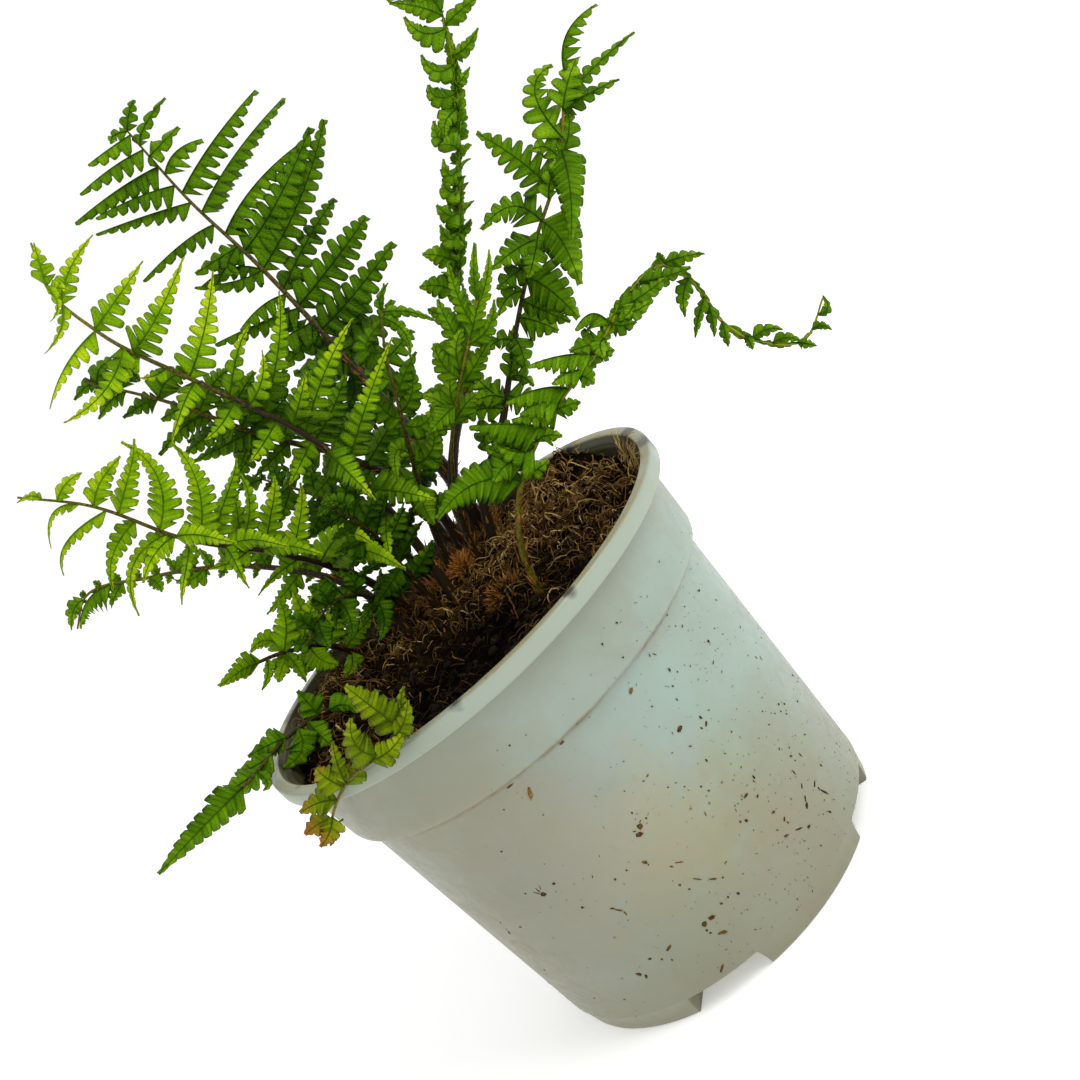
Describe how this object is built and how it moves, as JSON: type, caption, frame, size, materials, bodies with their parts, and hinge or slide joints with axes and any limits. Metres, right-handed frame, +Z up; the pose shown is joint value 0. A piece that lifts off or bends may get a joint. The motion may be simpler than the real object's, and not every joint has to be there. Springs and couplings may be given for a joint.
{
  "type": "potted fern",
  "caption": "Wood fern with arching feathery fronds, some curled or twisted, growing from a half-buried rootstock in a tapered round nursery pot of potting mix.",
  "frame": {"origin": "middle of the pot's underside, on the plane of its feet", "axes": "+Z up along the pot's axis; -Y is the side that faces the viewer of the picture; +X to that viewer's right when the pot stands upright"},
  "size_m": [0.2976, 0.1896, 0.3321],
  "materials": {
    "pot_plastic": "moulded, slightly worn",
    "mix": "coir and peat, rough",
    "scales": "papery brown scales",
    "young_frond": "fuzzy brown scales",
    "leaf_dark": "satin leaf",
    "leaf_mid": "satin leaf",
    "leaf_bright": "satin leaf",
    "leaf_yellow": "satin leaf"
  },
  "bodies": {
    "root": {"nursery_pot": "pot_plastic", "potting_mix": "mix", "rootstock": "scales", "side_bud": "scales", "crozier": "young_frond", "frond_tall_back": "leaf_mid", "frond_bright_left": "leaf_bright", "frond_dark_left": "leaf_dark", "frond_lower_left": "leaf_bright", "frond_under_left": "leaf_mid", "frond_rim_back": "leaf_bright", "frond_over_rim": "leaf_mid", "frond_yellow_rim": "leaf_yellow", "frond_twisted_tall": "leaf_mid", "frond_tall_right": "leaf_mid", "frond_curved_right": "leaf_bright", "frond_spiky_middle": "leaf_mid", "frond_curled_middle": "leaf_mid", "frond_inner_back": "leaf_dark", "frond_inner_low": "leaf_dark", "frond_inner_front": "leaf_dark", "frond_low_front": "leaf_dark"}
  },
  "joints": []
}
